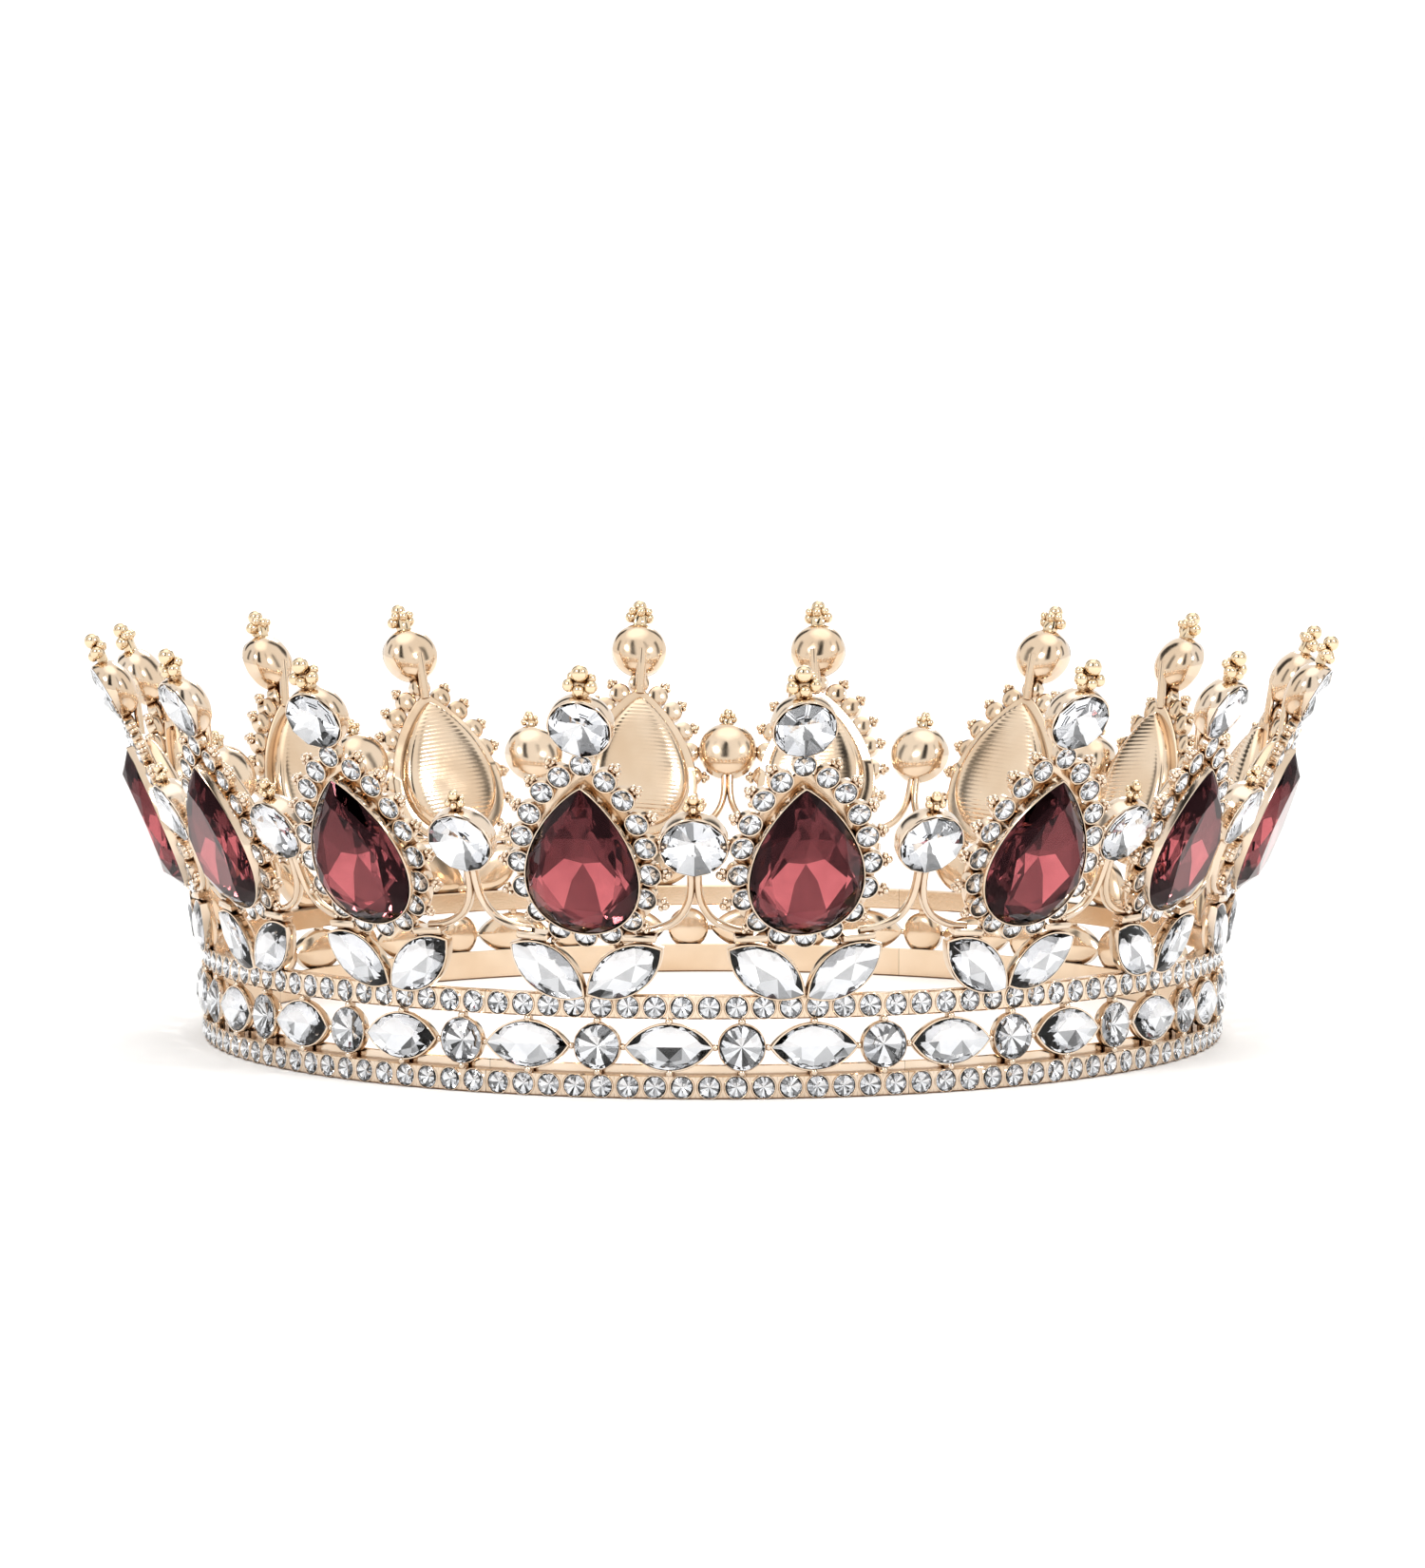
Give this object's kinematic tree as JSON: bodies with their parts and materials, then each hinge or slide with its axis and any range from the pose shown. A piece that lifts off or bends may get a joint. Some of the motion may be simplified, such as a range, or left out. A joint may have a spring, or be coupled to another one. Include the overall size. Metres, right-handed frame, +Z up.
{
  "type": "crown",
  "caption": "Round dress crown of soldered cast panels with teardrop stones in jewelled halos, round stones under bead finials, leaf stones and a twin-rail band.",
  "frame": {"origin": "centre of the ring, on the surface that the crown stands on", "axes": "+Z up through the middle of the ring; -Y towards the front panel; +X to the right of someone who looks at the front panel from outside"},
  "size_m": [0.1868, 0.1868, 0.0617],
  "materials": {
    "plating": "polished pale rose-gold plating over a cast white-metal alloy",
    "wine_glass": "faceted wine-red glass with a foiled back",
    "clear_glass": "faceted clear glass with a foiled back"
  },
  "bodies": {
    "root": {"panel_1": "plating", "panel_2": "plating", "panel_3": "plating", "panel_4": "plating", "panel_5": "plating", "panel_6": "plating", "panel_7": "plating", "panel_8": "plating", "pear_stone_1a": "wine_glass", "pear_stone_1b": "wine_glass", "top_stone_1a": "clear_glass", "top_stone_1b": "clear_glass", "low_stone_1a": "clear_glass", "low_stone_1b": "clear_glass", "pear_stone_2a": "wine_glass", "pear_stone_2b": "wine_glass", "top_stone_2a": "clear_glass", "top_stone_2b": "clear_glass", "low_stone_2a": "clear_glass", "low_stone_2b": "clear_glass", "pear_stone_3a": "wine_glass", "pear_stone_3b": "wine_glass", "top_stone_3a": "clear_glass", "top_stone_3b": "clear_glass", "low_stone_3a": "clear_glass", "low_stone_3b": "clear_glass", "pear_stone_4a": "wine_glass", "pear_stone_4b": "wine_glass", "top_stone_4a": "clear_glass", "top_stone_4b": "clear_glass", "low_stone_4a": "clear_glass", "low_stone_4b": "clear_glass", "pear_stone_5a": "wine_glass", "pear_stone_5b": "wine_glass", "top_stone_5a": "clear_glass", "top_stone_5b": "clear_glass", "low_stone_5a": "clear_glass", "low_stone_5b": "clear_glass", "pear_stone_6a": "wine_glass", "pear_stone_6b": "wine_glass", "top_stone_6a": "clear_glass", "top_stone_6b": "clear_glass", "low_stone_6a": "clear_glass", "low_stone_6b": "clear_glass", "pear_stone_7a": "wine_glass", "pear_stone_7b": "wine_glass", "top_stone_7a": "clear_glass", "top_stone_7b": "clear_glass", "low_stone_7a": "clear_glass", "low_stone_7b": "clear_glass", "pear_stone_8a": "wine_glass", "pear_stone_8b": "wine_glass", "top_stone_8a": "clear_glass", "top_stone_8b": "clear_glass", "low_stone_8a": "clear_glass", "low_stone_8b": "clear_glass"}
  },
  "joints": []
}
